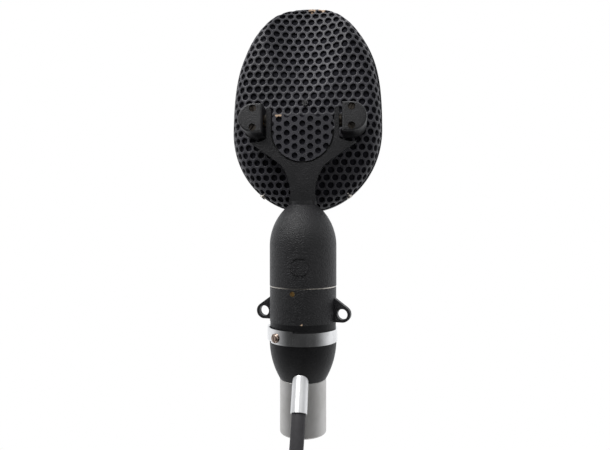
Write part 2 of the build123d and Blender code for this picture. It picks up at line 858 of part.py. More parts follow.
def dish(rim, depth, edge, edge_low, inset, scooped):
    # the solid inside a pressed shell, in by an inset; a negative depth bulges to the front
    outwards = 1 if depth > 0 else -1
    with BuildPart() as solid:
        for angle in edge_angles:
            turn = radians(angle)
            bulge = outwards * (abs(depth) - inset) * sin(turn)
            side_inset = inset + edge * (1 - cos(turn))
            low_inset = inset + edge_low * (1 - cos(turn))
            add(egg(head_plane.offset(rim + bulge), side_inset, low_inset))
        loft()
        if scooped:
            with BuildSketch(head_plane * Location((0, scoop_tip, rear_face), (-90 - scoop_slope, 0, 0))):
                with Locations((0, -scoop_radius)):
                    Circle(scoop_radius + inset)
            extrude(amount=2 * head_rise, both=True, mode=Mode.SUBTRACT)
    return solid.part


def shell(rim, depth, edge, edge_low, inset, wall, scooped):
    with BuildPart() as skin:
        add(dish(rim, depth, edge, edge_low, inset, scooped))
        add(dish(rim, depth, edge, edge_low, inset + wall, scooped), mode=Mode.SUBTRACT)
    return skin.part


def grille_holes(edge, edge_low):
    # staggered rows over the flat of a shell
    spots = []
    rows = int(head_rise / row_step) + 1
    columns = int(head_half_width / hole_pitch) + 1
    for row in range(-rows, rows):
        for column in range(-columns, columns):
            x = (column + 0.5 * (row % 2)) * hole_pitch
            y = row * row_step
            reach_x = head_half_width - edge - hole_margin - hole_radius
            rise = head_rise - edge - hole_margin - hole_radius
            drop = head_drop - edge_low - hole_margin - hole_radius
            fullness = head_fullness if y > 0 else 2
            reach_y = rise if y > 0 else drop
            if (abs(x) / reach_x) ** fullness + (abs(y) / reach_y) ** fullness < 1:
                spots.append((x, y))
    return spots


rear_shape = (rim_rear, rear_depth, rear_edge, rear_edge_low)
front_shape = (rim_front, -front_depth, front_edge, front_edge_low)
lining_inset = sheet + seat_gap
foot_spots = [(-block_x, 0), (block_x, 0)]
screw_way = grille_screw_radius + slip

# rim screws stand square to the outline, low on each side
rim_turn = radians(rim_screw_angle)
rim_screw_spot = (head_half_width * cos(rim_turn), head_drop * sin(rim_turn))
rim_normal = Vector(head_drop * cos(rim_turn), head_half_width * sin(rim_turn), 0).normalized()
rim_screw_level = rim_rear + 0.4 * rim_lip_height
rim_screw_planes = []
for side in (-1, 1):
    spot = head_plane.from_local_coords((side * rim_screw_spot[0], rim_screw_spot[1], rim_screw_level))
    tip = head_plane.from_local_coords(
        (side * (rim_screw_spot[0] + rim_normal.X), rim_screw_spot[1] + rim_normal.Y, rim_screw_level)
    )
    rim_screw_planes.append(Plane(spot, x_dir=head_plane.z_dir, z_dir=tip - spot))


def rim_screw_ways(radius, reach):
    with BuildPart() as ways:
        for plane in rim_screw_planes:
            with BuildSketch(plane.offset(-reach)):
                Circle(radius)
            extrude(amount=2 * reach)
    return ways.part


with BuildPart() as rear_grille:
    add(shell(*rear_shape, 0, sheet, True))
    with BuildSketch(head_plane.offset(rim_rear)):
        with Locations(*grille_holes(rear_edge, rear_edge_low)):
            Circle(hole_radius)
    extrude(amount=2 * rear_depth, mode=Mode.SUBTRACT)
    with BuildSketch(head_plane.offset(rim_rear + rim_lip_height)):
        with Locations(*foot_spots):
            Circle(foot_radius + slip)
        with Locations((0, grille_screw_rise)):
            Circle(screw_way)
    extrude(amount=2 * rear_depth, mode=Mode.SUBTRACT)
    add(rim_screw_ways(rim_screw_radius + slip, rim_screw_way), mode=Mode.SUBTRACT)
finish(rear_grille, "rear_grille")

with BuildPart() as front_grille:
    add(shell(*front_shape, 0, sheet, False))
    with BuildSketch(head_plane.offset(rim_front)):
        with Locations(*grille_holes(front_edge, front_edge_low)):
            Circle(hole_radius)
    extrude(amount=-2 * front_depth, mode=Mode.SUBTRACT)
finish(front_grille, "front_grille")

with BuildPart() as rear_lining:
    add(shell(*rear_shape, lining_inset, lining, True))
    with BuildSketch(head_plane.offset(rim_rear + rim_lip_height)):
        with Locations(*foot_spots):
            Circle(foot_radius + slip)
        with Locations((0, grille_screw_rise)):
            Circle(screw_way)
    extrude(amount=2 * rear_depth, mode=Mode.SUBTRACT)
    add(rim_screw_ways(rim_screw_radius + slip, rim_screw_way), mode=Mode.SUBTRACT)
finish(rear_lining, "rear_lining")

with BuildPart() as front_lining:
    add(shell(*front_shape, lining_inset, lining, False))
finish(front_lining, "front_lining")

with BuildPart() as head_rim:
    add(shell(*rear_shape, lining_inset + lining + seat_gap, rim_lip_wall, True))
    split(bisect_by=head_plane.offset(rim_rear + rim_lip_height), keep=Keep.BOTTOM)
    with BuildSketch(head_plane.offset(rim_front)):
        add(egg(Plane.XY, -rim_bead, -rim_bead))
    extrude(amount=rim_thickness)
    with BuildSketch(head_plane.offset(rim_front)):
        add(egg(Plane.XY, rim_width, rim_width))
    extrude(amount=rim_thickness + rim_lip_height, mode=Mode.SUBTRACT)
    add(rim_screw_ways(rim_screw_radius + slip, rim_screw_way), mode=Mode.SUBTRACT)
finish(head_rim, "head_rim")

with BuildPart() as rim_screws:
    for plane in rim_screw_planes:
        with BuildSketch(plane.offset(slip)):
            Circle(rim_screw_head_radius)
        extrude(amount=rim_screw_head_height)
        with BuildSketch(plane.offset(slip)):
            Circle(rim_screw_radius)
        extrude(amount=-rim_screw_length)
        with BuildSketch(plane.offset(slip + rim_screw_head_height)):
            Rectangle(small_slot_width, 2 * rim_screw_head_radius + overcut, rotation=rim_slot_turn)
        extrude(amount=-slot_depth, mode=Mode.SUBTRACT)
finish(rim_screws, "rim_screws")

with BuildPart() as grille_screw:
    with BuildSketch(head_plane.offset(rear_face)):
        with Locations((0, grille_screw_rise)):
            Circle(grille_screw_head_radius)
    extrude(amount=grille_screw_head_height)
    with BuildSketch(head_plane.offset(rear_face)):
        with Locations((0, grille_screw_rise)):
            Circle(grille_screw_radius)
    extrude(amount=frame_rear - rear_face - grille_screw_short)
    with BuildSketch(head_plane.offset(rear_face + grille_screw_head_height)):
        with Locations((0, grille_screw_rise)):
            Rectangle(small_slot_width, 2 * grille_screw_head_radius + overcut, rotation=grille_slot_turn)
    extrude(amount=-grille_slot_depth, mode=Mode.SUBTRACT)
finish(grille_screw, "grille_screw")

# ---------------------------------------------------------------- ribbon motor
bar_half = head_half_width - rim_width + frame_bar_bearing
pole_inner = ribbon_gap / 2
pole_outer = pole_inner + pole_width
clamp_rows = (pole_low - clamp_height / 2 - clamp_gap, pole_high + clamp_height / 2 + clamp_gap)
pole_x = pole_inner + pole_width / 2
pole_screw_rows = (pole_low + pole_screw_inset, pole_high - pole_screw_inset)
pole_screw_spots = [(side * pole_x, row) for side in (-1, 1) for row in pole_screw_rows]
clamp_screw_spots = [(side * clamp_screw_x, row) for side in (-1, 1) for row in clamp_rows]

with BuildPart() as motor_frame:
    with BuildSketch(head_plane.offset(rim_rear)):
        Rectangle(2 * bar_half, frame_bar_height)
        plate_height = frame_plate_high - frame_plate_low
        with Locations((0, (frame_plate_high + frame_plate_low) / 2)):
            Rectangle(2 * frame_plate_half_width, plate_height)
        with Locations((0, (frame_window_high + frame_window_low) / 2)):
            Rectangle(2 * frame_window_half_width, frame_window_high - frame_window_low, mode=Mode.SUBTRACT)
        with Locations((0, grille_screw_rise)):
            Rectangle(2 * frame_window_half_width, bridge_height)
            Circle(screw_way, mode=Mode.SUBTRACT)
        with Locations(*pole_screw_spots):
            Circle(motor_screw_radius + slip, mode=Mode.SUBTRACT)
        with Locations(*clamp_screw_spots):
            Circle(clamp_screw_radius + slip, mode=Mode.SUBTRACT)
    extrude(amount=frame_thickness)
finish(motor_frame, "motor_frame")

for side, name in ((-1, "left_pole_piece"), (1, "right_pole_piece")):
    with BuildPart() as pole_piece:
        with BuildSketch(head_plane.offset(rim_rear)):
            with Locations((side * pole_x, (pole_low + pole_high) / 2)):
                Rectangle(pole_width, pole_high - pole_low)
            with Locations(*pole_screw_spots):
                Circle(motor_screw_radius + slip, mode=Mode.SUBTRACT)
        extrude(amount=-pole_depth)
    finish(pole_piece, name)

with BuildPart() as motor_screws:
    with BuildSketch(head_plane.offset(frame_rear)):
        with Locations(*pole_screw_spots):
            Circle(motor_screw_head_radius)
    extrude(amount=motor_screw_head_height)
    with BuildSketch(head_plane.offset(frame_rear)):
        with Locations(*pole_screw_spots):
            Circle(motor_screw_radius)
    extrude(amount=-frame_thickness - pole_screw_reach)
finish(motor_screws, "motor_screws")

magnet_y = pole_low - magnet_leg / 4
with BuildPart() as magnet:
    with BuildSketch(head_plane.offset(rim_rear)):
        with Locations((0, magnet_y)):
            Circle(pole_outer + magnet_leg)
        with Locations((0, magnet_y)):
            Rectangle(2 * (pole_outer + magnet_leg), magnet_overlap, align=(Align.CENTER, Align.MIN))
        with Locations((0, magnet_y)):
            Circle(pole_outer, mode=Mode.SUBTRACT)
            Rectangle(2 * pole_outer, 2 * head_drop, align=(Align.CENTER, Align.MIN), mode=Mode.SUBTRACT)
        with Locations((0, magnet_y + magnet_overlap)):
            Rectangle(4 * head_drop, head_drop, align=(Align.CENTER, Align.MIN), mode=Mode.SUBTRACT)
    extrude(amount=-magnet_depth)
finish(magnet, "horseshoe_magnet")

insulator_front = rim_rear - insulator_thickness
ribbon_level = insulator_front - clamp_plate
ribbon_low = clamp_rows[0] - clamp_height / 2
ribbon_high = clamp_rows[1] + clamp_height / 2


def clamp_row_plates(level, depth):
    # one plate at each end of the ribbon, drilled for its two screws
    with BuildPart() as plates:
        with BuildSketch(head_plane.offset(level)):
            with Locations(*[(0, row) for row in clamp_rows]):
                Rectangle(2 * clamp_half_width, clamp_height)
            with Locations(*clamp_screw_spots):
                Circle(clamp_screw_radius + slip, mode=Mode.SUBTRACT)
        extrude(amount=-depth)
    return plates


clamp_insulators = clamp_row_plates(rim_rear, insulator_thickness)
finish(clamp_insulators, "clamp_insulators")
rear_clamps = clamp_row_plates(insulator_front, clamp_plate)
front_clamps = clamp_row_plates(ribbon_level - ribbon_thickness, clamp_plate)
with BuildPart() as ribbon_clamps:
    add(rear_clamps.part)
    add(front_clamps.part)
finish(ribbon_clamps, "ribbon_clamps")

with BuildPart() as ribbon:
    with BuildSketch(head_plane.offset(ribbon_level)):
        with Locations((0, (ribbon_low + ribbon_high) / 2)):
            Rectangle(ribbon_width, ribbon_high - ribbon_low)
    extrude(amount=-ribbon_thickness)
finish(ribbon, "ribbon")

clamp_front = ribbon_level - ribbon_thickness - clamp_plate
with BuildPart() as clamp_screws:
    with BuildSketch(head_plane.offset(clamp_front)):
        with Locations(*clamp_screw_spots):
            Circle(clamp_screw_head_radius)
    extrude(amount=-clamp_screw_head_height)
    with BuildSketch(head_plane.offset(clamp_front)):
        with Locations(*clamp_screw_spots):
            Circle(clamp_screw_radius)
    extrude(amount=rim_rear - clamp_front + frame_thickness / 2)
finish(clamp_screws, "clamp_screws")

# ---------------------------------------------------------------- output transformer, hung in the bell
with BuildPart() as crown_nut:
    with BuildSketch(Plane.XY.offset(crown_under)):
        RegularPolygon(nut_radius, 6)
        Circle(yoke_stud_radius + slip, mode=Mode.SUBTRACT)
    extrude(amount=-crown_nut_height)
finish(crown_nut, "crown_nut")

spacer_top = crown_under - crown_nut_height
can_top = spacer_top - spacer_length
can_foot = can_top - can_length
turned(
    "transformer_spacer",
    (yoke_stud_radius + slip, spacer_top),
    (spacer_radius, spacer_top),
    (spacer_radius, can_top),
    (yoke_stud_radius + slip, can_top),
)
turned(
    "transformer_can",
    (yoke_stud_radius + slip, can_top),
    (can_radius, can_top),
    (can_radius, can_foot),
    (can_radius - can_wall, can_foot),
    (can_radius - can_wall, can_top - can_top_thickness),
    (yoke_stud_radius + slip, can_top - can_top_thickness),
)

with BuildPart() as can_nut:
    with BuildSketch(Plane.XY.offset(can_top - can_top_thickness)):
        RegularPolygon(nut_radius, 6)
        Circle(yoke_stud_radius + slip, mode=Mode.SUBTRACT)
    extrude(amount=-can_nut_height)
finish(can_nut, "can_nut")

turned(
    "can_lid",
    (0, can_foot),
    (can_radius - can_wall - slip, can_foot),
    (can_radius - can_wall - slip, can_foot + can_top_thickness),
    (0, can_foot + can_top_thickness),
)

core_foot = can_foot + can_top_thickness
slot_height = core_height - 2 * core_yoke
slot_space = core_half_width - core_leg - core_side
slot_x = core_leg + slot_space / 2
with BuildPart() as transformer_core:
    with BuildSketch(Plane.XZ.offset(-core_half_depth)):
        with Locations((0, core_foot + core_height / 2)):
            Rectangle(2 * core_half_width, core_height)
        with Locations((-slot_x, core_foot + core_height / 2), (slot_x, core_foot + core_height / 2)):
            Rectangle(slot_space, slot_height, mode=Mode.SUBTRACT)
    extrude(amount=2 * core_half_depth)
finish(transformer_core, "transformer_core")

coil_height = slot_height - 2 * coil_gap
with BuildPart() as transformer_coil:
    with BuildSketch(Plane.XY.offset(core_foot + core_yoke + coil_gap)):
        coil_half_width = slot_x + slot_space / 2 - coil_gap
        coil_half_depth = core_half_depth + slot_space - coil_gap
        RectangleRounded(2 * coil_half_width, 2 * coil_half_depth, coil_round)
        Rectangle(2 * (core_leg + coil_gap), 2 * (core_half_depth + coil_gap), mode=Mode.SUBTRACT)
    extrude(amount=coil_height)
finish(transformer_coil, "transformer_coil")

# ---------------------------------------------------------------- captive lead
# The lead leaves along the gland, turns down under its own weight and hangs to its hank.
def on_gland(distance):
    # a point on the gland's axis, at a distance in from its mouth
    return (0, gland_mouth_y + distance * sin(gland_turn), gland_mouth_z + distance * cos(gland_turn))


lead_points = [
    on_gland(gland_seal),
    on_gland(-gland_exit),
    (-0.6, -27.0, -2.5),
    (lead_x, lead_y, -18.0),
    (lead_x, lead_y, hank_top),
]
vectors = [Vector(*point) for point in lead_points]
lead_radii = []
for before, corner, after in zip(vectors, vectors[1:], vectors[2:]):
    turn = (corner - before).get_angle(after - corner)
    shorter_run = min((corner - before).length, (after - corner).length)
    lead_radii.append(0.45 * shorter_run / tan(radians(turn / 2)))
print("lead radii, mm:", [round(radius, 1) for radius in lead_radii])

with BuildPart() as cord:
    with BuildLine() as lead_line:
        FilletPolyline(*lead_points, radius=lead_radii)
    with BuildSketch(Plane(origin=lead_line.line @ 0, z_dir=lead_line.line % 0)):
        Circle(cord_radius)
    sweep(path=lead_line.line)
lead_length = sum(edge.length for edge in lead_line.edges())
lead_by_volume = cord.part.volume / (pi * cord_radius**2)
print("lead tube, mm:", round(lead_length, 1), "by volume:", round(lead_by_volume, 1))
finish(cord, "cord")

fold_reach = fold_radius + cord_radius
fold_depth = 2 * cord_radius * hank_layers
waist_width = 2 * cord_radius * waist_columns
waist_depth = 2 * cord_radius * waist_rows
waist_half = tie_height / 2 + tie_margin
hank_middle = hank_top - hank_length / 2
hank_foot = hank_top - hank_length


def waist_outline(level, growth):
    # the tied middle of the hank, at a level, grown on every side
    with BuildSketch(Plane.XY.offset(level)) as outline:
        with Locations((0, hank_y)):
            RectangleRounded(waist_width + 2 * growth, waist_depth + 2 * growth, cord_radius + growth)
    return outline.sketch


# The runs spread from the tied middle into round folds at both ends.
with BuildPart() as cord_hank:
    for angle in fold_angles:
        share = cos(radians(angle))
        level = hank_foot + fold_reach * (sin(radians(fold_angles[0])) - sin(radians(angle)))
        with BuildSketch(Plane.XY.offset(level)):
            with Locations((0, hank_y)):
                RectangleRounded(
                    2 * fold_reach * share, waist_depth + (fold_depth - waist_depth) * share, cord_radius
                )
    add(waist_outline(hank_middle - waist_half, 0))
    loft()
    mirror(about=Plane.XY.offset(hank_middle))
    add(waist_outline(hank_middle - waist_half, 0))
    extrude(amount=2 * waist_half)
finish(cord_hank, "cord_hank")

with BuildPart() as hank_tie:
    add(waist_outline(hank_middle - tie_height / 2, seat_gap + tie_thickness))
    extrude(amount=tie_height)
    add(waist_outline(hank_middle - tie_height / 2, seat_gap))
    extrude(amount=tie_height, mode=Mode.SUBTRACT)
finish(hank_tie, "hank_tie")

# ---------------------------------------------------------------- connector at the lead's end
shell_top = hank_foot - boot_length
shell_foot = shell_top - connector_length
connector_bore = connector_radius - connector_wall
insert_foot = shell_foot + connector_recess

with BuildPart() as connector_boot:
    with BuildSketch(Plane.XY.offset(hank_foot)):
        with Locations((0, hank_y)):
            Circle(boot_top_radius)
    with BuildSketch(Plane.XY.offset(shell_top)):
        with Locations((0, hank_y)):
            Circle(boot_foot_radius)
    loft()
finish(connector_boot, "connector_boot")

with BuildPart() as connector_shell:
    with BuildSketch(Plane.XY.offset(shell_foot)):
        with Locations((0, hank_y)):
            Circle(connector_radius)
            Circle(connector_bore, mode=Mode.SUBTRACT)
    extrude(amount=connector_length - connector_wall)
    with BuildSketch(Plane.XY.offset(shell_top - connector_wall)):
        with Locations((0, hank_y)):
            Circle(connector_radius)
    extrude(amount=connector_wall)
    fillet(connector_shell.edges().group_by(Axis.Z)[-1], connector_wall * 0.8)
finish(connector_shell, "connector_shell")

contact_spots = [
    (contact_ring * cos(radians(angle)), hank_y + contact_ring * sin(radians(angle)))
    for angle in (90, 210, 330)
]
with BuildPart() as connector_insert:
    with BuildSketch(Plane.XY.offset(insert_foot)):
        with Locations((0, hank_y)):
            Circle(connector_bore - slip)
        with Locations(*contact_spots):
            Circle(contact_radius + slip, mode=Mode.SUBTRACT)
    extrude(amount=connector_insert_length)
finish(connector_insert, "connector_insert")

with BuildPart() as connector_contacts:
    with BuildSketch(Plane.XY.offset(insert_foot - contact_length)):
        with Locations(*contact_spots):
            Circle(contact_radius)
    extrude(amount=contact_length + connector_insert_length / 2)
    fillet(connector_contacts.edges().group_by(Axis.Z)[0], contact_radius * 0.6)
finish(connector_contacts, "connector_contacts")
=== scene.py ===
import json
import math

import bmesh
import bpy
import numpy as np
from mathutils import Matrix, Vector


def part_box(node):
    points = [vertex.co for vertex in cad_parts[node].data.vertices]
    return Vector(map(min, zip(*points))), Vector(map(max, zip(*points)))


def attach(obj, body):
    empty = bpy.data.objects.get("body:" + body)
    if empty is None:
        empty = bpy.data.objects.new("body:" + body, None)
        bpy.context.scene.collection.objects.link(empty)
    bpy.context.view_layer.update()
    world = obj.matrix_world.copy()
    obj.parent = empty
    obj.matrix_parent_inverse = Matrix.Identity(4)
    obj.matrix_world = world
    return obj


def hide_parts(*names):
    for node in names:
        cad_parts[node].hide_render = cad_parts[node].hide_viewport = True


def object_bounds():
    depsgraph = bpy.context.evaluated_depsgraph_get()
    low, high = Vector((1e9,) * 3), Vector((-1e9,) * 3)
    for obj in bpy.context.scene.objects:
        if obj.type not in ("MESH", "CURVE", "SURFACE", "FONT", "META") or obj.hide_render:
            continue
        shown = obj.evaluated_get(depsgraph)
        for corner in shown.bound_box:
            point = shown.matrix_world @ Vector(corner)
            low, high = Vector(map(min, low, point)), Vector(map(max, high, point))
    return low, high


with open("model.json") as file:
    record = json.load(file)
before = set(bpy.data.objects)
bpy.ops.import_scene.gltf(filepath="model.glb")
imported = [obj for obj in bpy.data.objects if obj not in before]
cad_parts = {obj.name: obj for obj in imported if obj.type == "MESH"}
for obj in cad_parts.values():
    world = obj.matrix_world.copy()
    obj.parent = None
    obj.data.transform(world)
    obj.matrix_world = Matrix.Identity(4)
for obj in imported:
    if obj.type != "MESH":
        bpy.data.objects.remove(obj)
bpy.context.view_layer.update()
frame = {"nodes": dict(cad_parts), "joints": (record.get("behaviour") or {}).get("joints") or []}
nodes = frame["nodes"]
mm = 0.001

# shader groups


def newGroup(name, inputs, outputs):
    group = bpy.data.node_groups.new(name, "ShaderNodeTree")
    for label, kind, value in inputs:
        socket = group.interface.new_socket(label, in_out="INPUT", socket_type=kind)
        socket.default_value = value
    for label, kind in outputs:
        group.interface.new_socket(label, in_out="OUTPUT", socket_type=kind)
    return group, group.nodes.new("NodeGroupInput"), group.nodes.new("NodeGroupOutput")


def addNode(tree, kind, links=(), **settings):
    node = tree.nodes.new(kind)
    for key, value in settings.items():
        if key in node.inputs:
            node.inputs[key].default_value = value
        else:
            setattr(node, key, value)
    for socket, source in links:
        tree.links.new(source, node.inputs[socket])
    return node


def wrinkleGroup():
    # fine sandy wrinkle of stoved paint: a height, and a mask of its dull hollows
    group, inward, outward = newGroup(
        "wrinklePaint",
        [
            ("Scale", "NodeSocketFloat", 1500.0), ("Strength", "NodeSocketFloat", 0.5),
            ("Depth", "NodeSocketFloat", 0.0002),
        ],
        [("Normal", "NodeSocketVector"), ("Hollows", "NodeSocketFloat")],
    )
    coords = addNode(group, "ShaderNodeTexCoord")
    grain = addNode(
        group, "ShaderNodeTexNoise",
        [("Vector", coords.outputs["Object"]), ("Scale", inward.outputs["Scale"])], Detail=3.0,
        Roughness=0.6,
    )
    cells = addNode(
        group, "ShaderNodeTexVoronoi",
        [("Vector", coords.outputs["Object"]), ("Scale", inward.outputs["Scale"])], feature="SMOOTH_F1",
        Smoothness=0.4,
    )
    height = addNode(
        group, "ShaderNodeMath", [(0, grain.outputs["Fac"]), (1, cells.outputs["Distance"])],
        operation="SUBTRACT",
    )
    bump = addNode(
        group, "ShaderNodeBump",
        [
            ("Height", height.outputs[0]), ("Strength", inward.outputs["Strength"]),
            ("Distance", inward.outputs["Depth"]),
        ],
    )
    group.links.new(bump.outputs["Normal"], outward.inputs["Normal"])
    group.links.new(cells.outputs["Distance"], outward.inputs["Hollows"])
    return group


def blotchGroup():
    # slow cloudy variation, for handling marks and uneven finish
    group, inward, outward = newGroup(
        "blotches",
        [
            ("Scale", "NodeSocketFloat", 60.0), ("Low", "NodeSocketFloat", 0.4),
            ("High", "NodeSocketFloat", 0.6),
        ],
        [("Amount", "NodeSocketFloat")],
    )
    coords = addNode(group, "ShaderNodeTexCoord")
    cloud = addNode(
        group, "ShaderNodeTexNoise",
        [("Vector", coords.outputs["Object"]), ("Scale", inward.outputs["Scale"])], Detail=5.0,
        Roughness=0.65,
    )
    spread = addNode(
        group, "ShaderNodeMapRange",
        [
            ("Value", cloud.outputs["Fac"]), ("From Min", inward.outputs["Low"]),
            ("From Max", inward.outputs["High"]),
        ],
    )
    group.links.new(spread.outputs["Result"], outward.inputs["Amount"])
    return group


chipped = dict(
    bare=(0.62, 0.44, 0.30),
    ragged=0.0018,
    grain=1100.0,
    places=[  # each with its reach, in millimetres
        ((2.5, 24.0, 232.2), 3.0),
        ((8.5, 23.5, 231.8), 3.0),
        ((-12.8, -5.0, 166.8), 2.8),
        ((1.2, -17.6, 59.4), 1.5),
    ],
)


def wornGroup():
    # ragged patches at a few places where the paint has chipped off
    group, inward, outward = newGroup(
        "wornSpots", [("Ragged", "NodeSocketFloat", chipped["ragged"])], [("Bare", "NodeSocketFloat")],
    )
    coords = addNode(group, "ShaderNodeTexCoord")
    edge = addNode(
        group, "ShaderNodeTexNoise", [("Vector", coords.outputs["Object"])], Scale=chipped["grain"],
        Detail=3.0,
    )
    shift = addNode(
        group, "ShaderNodeMath", [(0, edge.outputs["Fac"]), (1, inward.outputs["Ragged"])],
        operation="MULTIPLY",
    )
    bare = None
    for place, radius in chipped["places"]:
        away = addNode(
            group, "ShaderNodeVectorMath", [(0, coords.outputs["Object"])], operation="DISTANCE",
        )
        away.inputs[1].default_value = Vector(place) * mm
        reach = addNode(
            group, "ShaderNodeMath", [(0, away.outputs["Value"]), (1, shift.outputs[0])], operation="ADD",
        )
        spot = addNode(group, "ShaderNodeMath", [(0, reach.outputs[0])], operation="LESS_THAN")
        spot.inputs[1].default_value = radius * mm
        if bare:
            bare = addNode(
                group, "ShaderNodeMath", [(0, bare.outputs[0]), (1, spot.outputs[0])],
                operation="MAXIMUM",
            )
        else:
            bare = spot
    group.links.new(bare.outputs[0], outward.inputs["Bare"])
    return group


wrinklePaint = wrinkleGroup()
blotches = blotchGroup()
wornSpots = wornGroup()


def groupNode(tree, group, **values):
    node = tree.nodes.new("ShaderNodeGroup")
    node.node_tree = group
    for key, value in values.items():
        node.inputs[key].default_value = value
    return node


def emptyMaterial(name):
    material = bpy.data.materials.new(name)
    material.use_nodes = True
    tree = material.node_tree
    return material, tree, tree.nodes["Principled BSDF"]


def paintMaterial(name, look):
    material, tree, shader = emptyMaterial(name)
    wrinkle = groupNode(
        tree, wrinklePaint, Scale=look["grain"], Strength=look["bump"], Depth=look["depth"],
    )
    cloud = groupNode(tree, blotches, Scale=look["cloud"])
    tone = addNode(tree, "ShaderNodeMix", [("Factor", cloud.outputs["Amount"])], data_type="RGBA")
    tone.inputs["A"].default_value = (*look["dark"], 1)
    tone.inputs["B"].default_value = (*look["light"], 1)
    gloss = addNode(tree, "ShaderNodeMapRange", [("Value", wrinkle.outputs["Hollows"])])
    gloss.inputs["To Min"].default_value = look["smooth"]
    gloss.inputs["To Max"].default_value = look["rough"]
    worn = groupNode(tree, wornSpots)
    colour = addNode(tree, "ShaderNodeMix", [("Factor", worn.outputs["Bare"])], data_type="RGBA")
    tree.links.new(tone.outputs["Result"], colour.inputs["A"])
    colour.inputs["B"].default_value = (*chipped["bare"], 1)
    tree.links.new(colour.outputs["Result"], shader.inputs["Base Color"])
    tree.links.new(gloss.outputs["Result"], shader.inputs["Roughness"])
    tree.links.new(wrinkle.outputs["Normal"], shader.inputs["Normal"])
    shader.inputs["Specular IOR Level"].default_value = look["specular"]
    return material


streaked = dict(scale=900.0, detail=4.0, depth=0.00005)


def metalMaterial(name, look):
    material, tree, shader = emptyMaterial(name)
    coords = addNode(tree, "ShaderNodeTexCoord")
    stretch = addNode(tree, "ShaderNodeMapping", [("Vector", coords.outputs["Object"])])
    stretch.inputs["Scale"].default_value = look["brush"]
    streaks = addNode(
        tree, "ShaderNodeTexNoise", [("Vector", stretch.outputs["Vector"])], Scale=streaked["scale"],
        Detail=streaked["detail"],
    )
    cloud = groupNode(tree, blotches, Scale=look["cloud"])
    tone = addNode(tree, "ShaderNodeMix", [("Factor", cloud.outputs["Amount"])], data_type="RGBA")
    tone.inputs["A"].default_value = (*look["dark"], 1)
    tone.inputs["B"].default_value = (*look["light"], 1)
    gloss = addNode(tree, "ShaderNodeMapRange", [("Value", streaks.outputs["Fac"])])
    gloss.inputs["To Min"].default_value = look["smooth"]
    gloss.inputs["To Max"].default_value = look["rough"]
    bump = addNode(tree, "ShaderNodeBump", [("Height", streaks.outputs["Fac"])])
    bump.inputs["Strength"].default_value = look["bump"]
    bump.inputs["Distance"].default_value = streaked["depth"]
    tree.links.new(tone.outputs["Result"], shader.inputs["Base Color"])
    tree.links.new(gloss.outputs["Result"], shader.inputs["Roughness"])
    tree.links.new(bump.outputs["Normal"], shader.inputs["Normal"])
    shader.inputs["Metallic"].default_value = look["metal"]
    return material


paints = {
    "sheetPaint": dict(
        grain=2200.0, bump=0.45, depth=0.0002, cloud=45.0, dark=(0.036, 0.035, 0.042),
        light=(0.053, 0.051, 0.061), smooth=0.36, rough=0.55, specular=0.5,
    ),
    "castingPaint": dict(
        grain=1500.0, bump=0.8, depth=0.0003, cloud=40.0, dark=(0.006, 0.006, 0.007),
        light=(0.012, 0.0115, 0.013), smooth=0.34, rough=0.56, specular=0.5,
    ),
    "blockPaint": dict(
        grain=1800.0, bump=0.5, depth=0.0002, cloud=90.0, dark=(0.007, 0.007, 0.008),
        light=(0.014, 0.0135, 0.015), smooth=0.34, rough=0.52, specular=0.5,
    ),
    # darker copy of the casting paint: the shade on the down-facing bowl and collar is painted into their
    # colour
    "shadedBowlPaint": dict(
        grain=1500.0, bump=0.45, depth=0.0002, cloud=50.0, dark=(0.003, 0.003, 0.0035),
        light=(0.006, 0.006, 0.007), smooth=0.38, rough=0.55, specular=0.3,
    ),
}
metals = {
    "stemMetal": dict(
        brush=(1, 1, 0.05), cloud=80.0, dark=(0.55, 0.54, 0.52), light=(0.61, 0.60, 0.585), smooth=0.42,
        rough=0.56, bump=0.15, metal=1.0,
    ),
    "bandMetal": dict(
        brush=(1, 1, 0.08), cloud=120.0, dark=(0.72, 0.72, 0.72), light=(0.86, 0.86, 0.86), smooth=0.10,
        rough=0.22, bump=0.05, metal=1.0,
    ),
    "domeMetal": dict(
        brush=(1, 1, 1), cloud=250.0, dark=(0.30, 0.22, 0.18), light=(0.46, 0.37, 0.31), smooth=0.2,
        rough=0.36, bump=0.05, metal=1.0,
    ),
    "glandMetal": dict(
        brush=(1, 1, 0.1), cloud=60.0, dark=(0.78, 0.78, 0.78), light=(0.86, 0.86, 0.86), smooth=0.34,
        rough=0.46, bump=0.04, metal=1.0,
    ),
    "screwMetal": dict(
        brush=(1, 1, 1), cloud=300.0, dark=(0.02, 0.018, 0.016), light=(0.07, 0.06, 0.05), smooth=0.35,
        rough=0.55, bump=0.2, metal=1.0,
    ),
    "wornMetal": dict(
        brush=(0.1, 1, 1), cloud=300.0, dark=(0.45, 0.42, 0.38), light=(0.70, 0.66, 0.60), smooth=0.2,
        rough=0.4, bump=0.1, metal=1.0,
    ),
    "bronzeMetal": dict(
        brush=(1, 1, 1), cloud=200.0, dark=(0.40, 0.24, 0.09), light=(0.62, 0.42, 0.18), smooth=0.25,
        rough=0.45, bump=0.1, metal=1.0,
    ),
    "coreMetal": dict(
        brush=(1, 0.1, 1), cloud=90.0, dark=(0.12, 0.12, 0.13), light=(0.22, 0.22, 0.23), smooth=0.3,
        rough=0.55, bump=0.2, metal=1.0,
    ),
}
